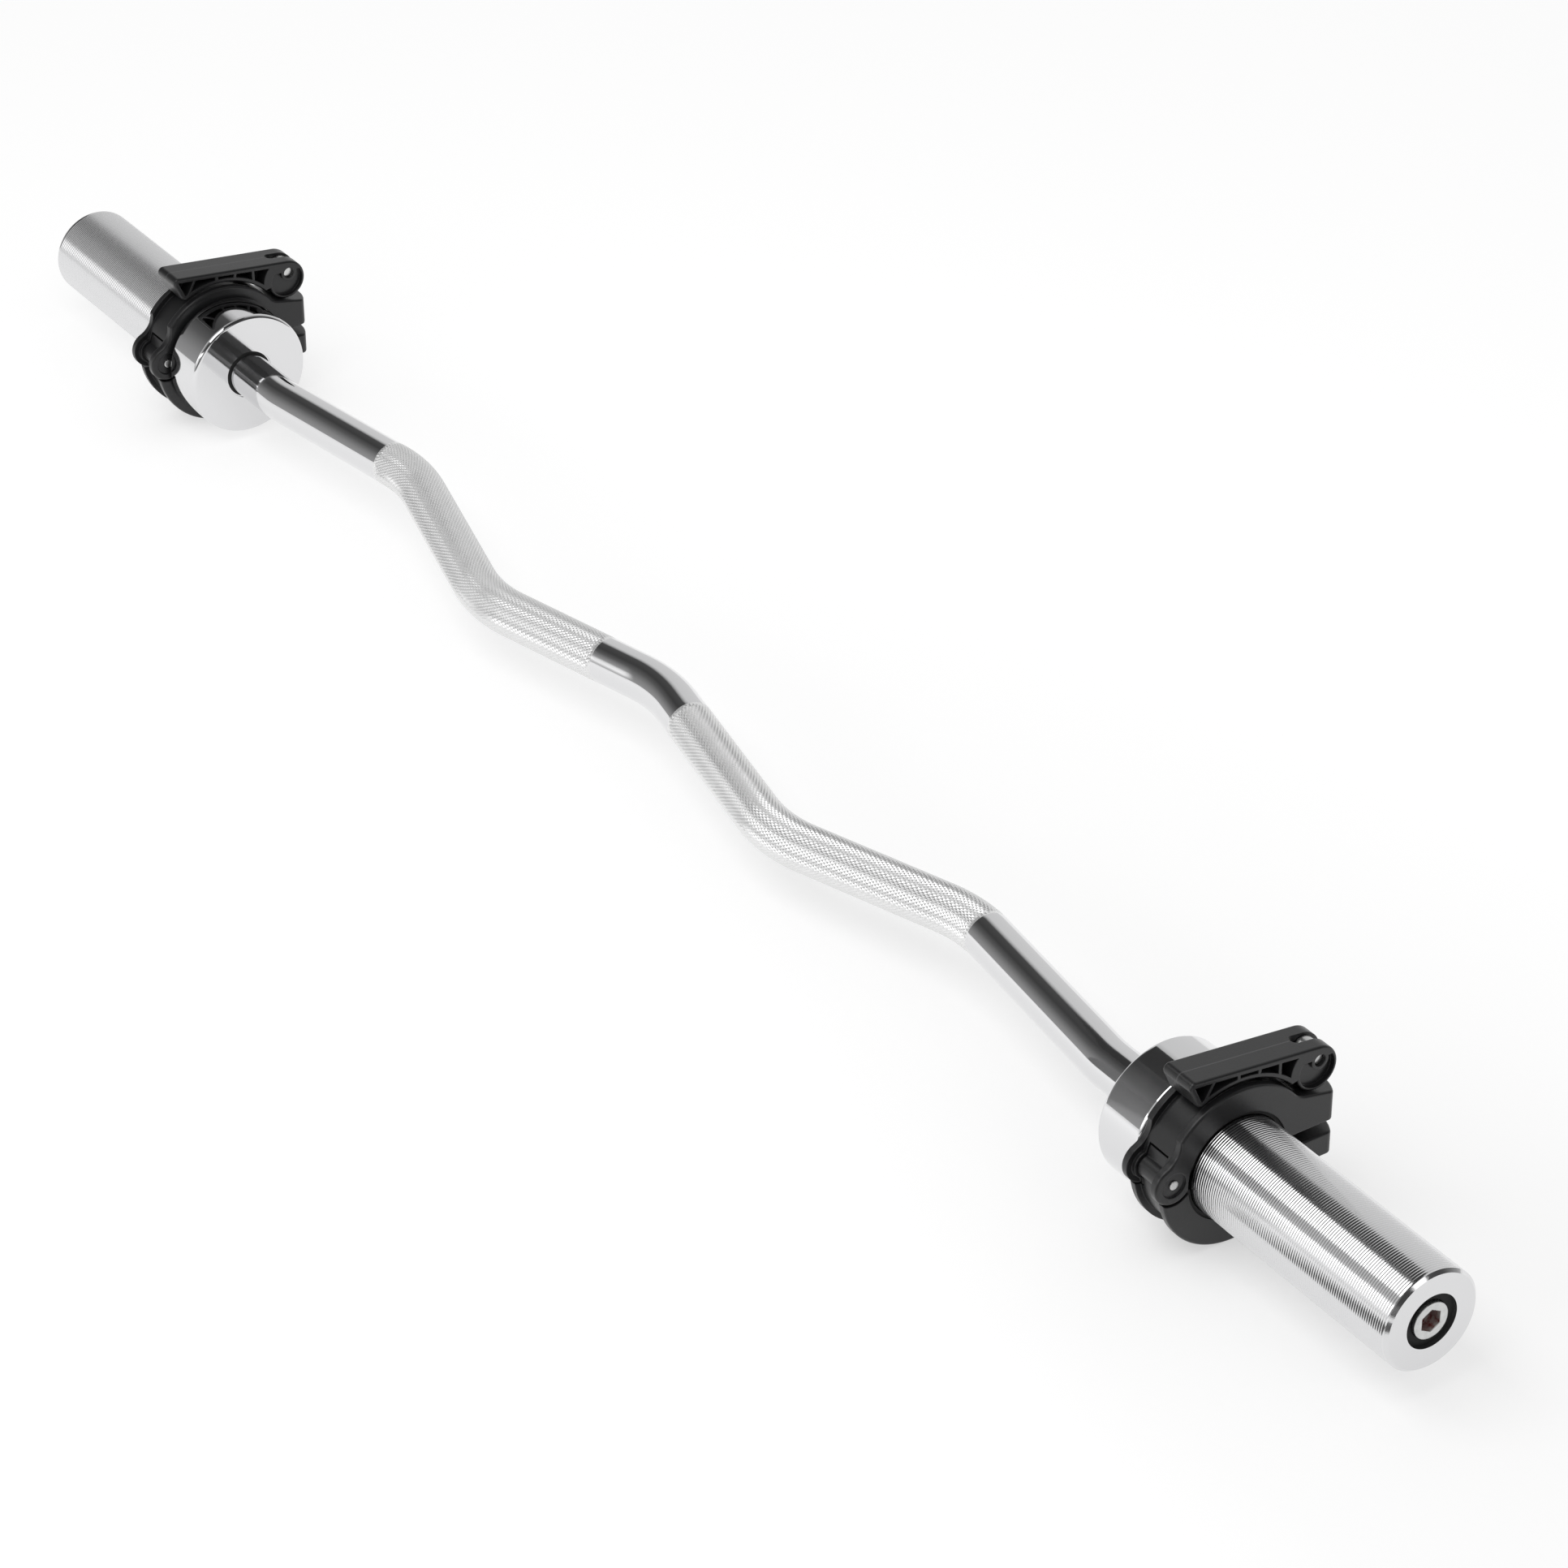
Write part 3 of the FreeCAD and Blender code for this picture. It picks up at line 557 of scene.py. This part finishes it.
def add_lamp(name, place, width, height, brightness):
    """Soft box along the bar that shines square at the bar's axis, with the brightness of its face."""
    data = bpy.data.lights.new(name, "AREA")
    data.shape = "RECTANGLE"
    data.size = width
    data.size_y = height
    data.energy = brightness * math.pi * width * height
    lamp = bpy.data.objects.new(name, data)
    lamp.location = bar_axis + Vector(place)
    towards = Vector((0.0, -place[1], -place[2]))
    lamp.rotation_euler = towards.to_track_quat("-Z", "Y").to_euler()
    lamp.visible_camera = False
    bpy.context.scene.collection.objects.link(lamp)


def stage_sheet(name, first, second, along, material):
    """Flat sheet of the studio from one (across, height) edge to another, over a stretch along the bar."""
    mesh = bpy.data.meshes.new(name)
    corners = [(along[0], *first), (along[1], *first), (along[1], *second), (along[0], *second)]
    mesh.from_pydata(corners, [], [(0, 1, 2, 3)])
    mesh.materials.append(material)
    sheet = bpy.data.objects.new(name, mesh)
    bpy.context.scene.collection.objects.link(sheet)
    return sheet


def studio_paper():
    """Matt paper that shows white to the camera and in the chrome, and keeps a soft shadow by the bar,
    deepened by painted shade.
    """
    material, tree, shader = new_material("studio_paper")
    shader.inputs["Base Color"].default_value = linear("#BCBCBC")
    shader.inputs["Roughness"].default_value = 1.0
    shader.inputs["Specular IOR Level"].default_value = 0.0
    path = add(tree, "ShaderNodeLightPath").outputs
    mirrored = add(
        tree, "ShaderNodeMath", {0: path["Is Glossy Ray"], 1: path["Is Transmission Ray"]}, operation="ADD")
    seen = add(tree, "ShaderNodeMath", {0: path["Is Camera Ray"], 1: mirrored.outputs[0]}, operation="ADD")
    place = add(tree, "ShaderNodeTexCoord").outputs["Object"]
    shares = (along_share, 1.0, 0.0)
    from_near_end = (-along_share * sleeve_end, 0.0, 0.0)
    aside = add(
        tree, "ShaderNodeVectorMath", {0: place, 1: shares, 2: from_near_end},
        operation="MULTIPLY_ADD")
    distance = add(tree, "ShaderNodeVectorMath", {0: aside.outputs[0]}, operation="LENGTH")
    # Lower glow by the bar: painted shade that deepens its shadow on the paper
    glow = add(
        tree, "ShaderNodeMapRange",
        {"Value": distance.outputs["Value"], "From Min": glow_starts, "From Max": glow_ends,
         "To Min": glow_dimmed_by_bar, "To Max": glow_far})
    lift = add(tree, "ShaderNodeMath", {0: seen.outputs[0], 1: glow.outputs[0]}, operation="MULTIPLY")
    shader.inputs["Emission Color"].default_value = (1.0, 1.0, 1.0, 1.0)
    tree.links.new(lift.outputs[0], shader.inputs["Emission Strength"])
    return material


def flag_cloth(name, colour):
    """Dull cloth of a light flag, which the camera never sees."""
    material, _, shader = new_material(name)
    shader.inputs["Base Color"].default_value = linear(colour)
    shader.inputs["Roughness"].default_value = 1.0
    shader.inputs["Specular IOR Level"].default_value = 0.0
    return material


def make_world():
    """Surroundings that are pale beyond the bar and dark overhead, with an even fill of light."""
    world = bpy.data.worlds.new("studio")
    bpy.context.scene.world = world
    world.use_nodes = True
    tree = world.node_tree
    tree.nodes.clear()
    direction = add(tree, "ShaderNodeTexCoord").outputs["Generated"]
    parts = add(tree, "ShaderNodeSeparateXYZ", {0: direction}).outputs
    angle = add(tree, "ShaderNodeMath", {0: parts["Z"], 1: parts["Y"]}, operation="ARCTAN2")
    share = add(tree, "ShaderNodeMath", {0: angle.outputs[0], 1: math.pi}, operation="DIVIDE")
    by_angle = []
    for levels in (sky_levels, side_levels):
        ramp = add(tree, "ShaderNodeValToRGB", {"Fac": share.outputs[0]})
        spots = ramp.color_ramp.elements
        while len(spots) < len(levels):
            spots.new(0.5)
        for spot, (degrees, level) in zip(spots, levels):
            spot.position = degrees / 180
            spot.color = (level, level, level, 1.0)
        by_angle.append(ramp.outputs[0])
    sided = add(
        tree, "ShaderNodeMapRange", {"Value": parts["X"], "From Min": side_starts, "From Max": side_rules})
    around = add(
        tree, "ShaderNodeMix",
        {mix_share: sided.outputs[0], first_number: by_angle[0], second_number: by_angle[1]})
    fade = add(
        tree, "ShaderNodeMapRange",
        {"Value": parts["X"], "From Min": fade_starts, "From Max": fade_ends,
         "To Min": 1.0, "To Max": faded_share})
    faded = add(tree, "ShaderNodeMath", {0: around.outputs[0], 1: fade.outputs[0]}, operation="MULTIPLY")
    screen = add(
        tree, "ShaderNodeMapRange",
        {"Value": parts["X"], "From Min": -1.0, "From Max": screen_edge,
         "To Min": screen_level, "To Max": 0.0})
    mirrored = add(
        tree, "ShaderNodeMath", {0: faded.outputs[0], 1: screen.outputs[0]}, operation="MAXIMUM")
    path = add(tree, "ShaderNodeLightPath").outputs
    shown = add(
        tree, "ShaderNodeMix",
        {mix_share: path["Is Diffuse Ray"], first_number: mirrored.outputs[0], second_number: sky_fill})
    seen = add(
        tree, "ShaderNodeMath", {0: path["Is Camera Ray"], 1: path["Is Transmission Ray"]}, operation="ADD")
    level = add(tree, "ShaderNodeMath", {0: shown.outputs[0], 1: seen.outputs[0]}, operation="MAXIMUM")
    background = add(tree, "ShaderNodeBackground", {"Strength": level.outputs[0]})
    add(tree, "ShaderNodeOutputWorld", {"Surface": background.outputs[0]})


def make_studio():
    """Floor, surroundings, a soft box over the bar, a strip at its near side, a box by its end, and flags."""
    reach = 8.0
    stage_sheet(
        "studio_floor", first=(-reach, 0.0), second=(reach, 0.0), along=(-reach, reach),
        material=studio_paper())
    dark_cloth = flag_cloth("flag_cloth_dark", "#5A5A5A")
    grey_cloth = flag_cloth("flag_cloth_grey", "#969696")
    flags = [
        stage_sheet(
            "floor_flag", first=(-0.90, 1.0 * mm), second=(-0.10, 1.0 * mm), along=(0.48, 0.85),
            material=dark_cloth),
        stage_sheet(
            "top_flag", first=(-0.19, 0.95), second=(0.38, 0.95), along=(-0.42, 1.30),
            material=dark_cloth),
        stage_sheet(
            "side_flag", first=(-1.00, 0.04), second=(-1.00, 1.75), along=(-0.60, -0.38),
            material=grey_cloth),
    ]
    for flag in flags:
        flag.visible_camera = False
        flag.visible_diffuse = False
        flag.visible_shadow = False
    make_world()
    add_lamp("near_box", place=(0.275, -0.48, 0.99), width=1.21, height=0.58, brightness=2.0)
    add_lamp("side_strip", place=(0.285, -1.00, 0.46), width=1.23, height=0.14, brightness=1.8)
    add_lamp("end_box", place=(1.5, 0.1, 0.78), width=0.5, height=0.5, brightness=1.5)


def make_camera():
    """Camera at the photograph's viewing angle."""
    data = bpy.data.cameras.new("camera")
    data.lens = camera_lens
    data.sensor_width = 36.0
    data.sensor_fit = "HORIZONTAL"
    data.clip_end = 50.0
    camera = bpy.data.objects.new("camera", data)
    turn = Matrix.Rotation(camera_azimuth, 4, "Z") @ Matrix.Rotation(math.pi / 2 - camera_elevation, 4, "X")
    roll = Matrix.Rotation(camera_roll, 4, "Z")
    camera.matrix_world = Matrix.Translation(bar_axis + camera_from_axis) @ turn @ roll
    bpy.context.scene.collection.objects.link(camera)
    bpy.context.scene.camera = camera


chrome = polished_chrome()
grip_chrome = rolled_chrome()
sleeve_chrome = turned_chrome()
steel = zinc_steel()
socket_steel = rusted_socket()
nylon = moulded_nylon()
lever_nylon = moulded_nylon("glass_filled_nylon_lever", lever_middle)
rubber = moulded_rubber()
seal_rubber = cased_rubber()
bronze = sintered_bronze()

finishes = {
    "flange": chrome,
    "shaft_seal": seal_rubber,
    "inner_bush": bronze,
    "outer_bush": bronze,
    "thrust_washer": steel,
    "end_bolt": socket_steel,
    "end_ring": rubber,
    "collar_upper_jaw": nylon,
    "collar_lower_jaw": nylon,
    "collar_upper_pad": rubber,
    "collar_lower_pad": rubber,
    "collar_hinge_pin": steel,
    "collar_lever": lever_nylon,
    "collar_lever_pin": steel,
    "collar_draw_bolt": steel,
    "collar_bolt_nut": steel,
}
for side in ("left", "right"):
    for part, finish in finishes.items():
        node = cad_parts[side + "_" + part]
        node.data.materials.clear()
        node.data.materials.append(finish)

make_shaft(chrome, grip_chrome)
for side, sign in (("left", -1), ("right", 1)):
    sleeve = side + "_sleeve"
    name = side + "_ridged_sleeve"
    turned_piece(name, sleeve_profile(), around_sleeve, sleeve_chrome, sleeve, sleeve, sign)

make_studio()
make_camera()
bpy.context.scene.view_settings.view_transform = "Standard"
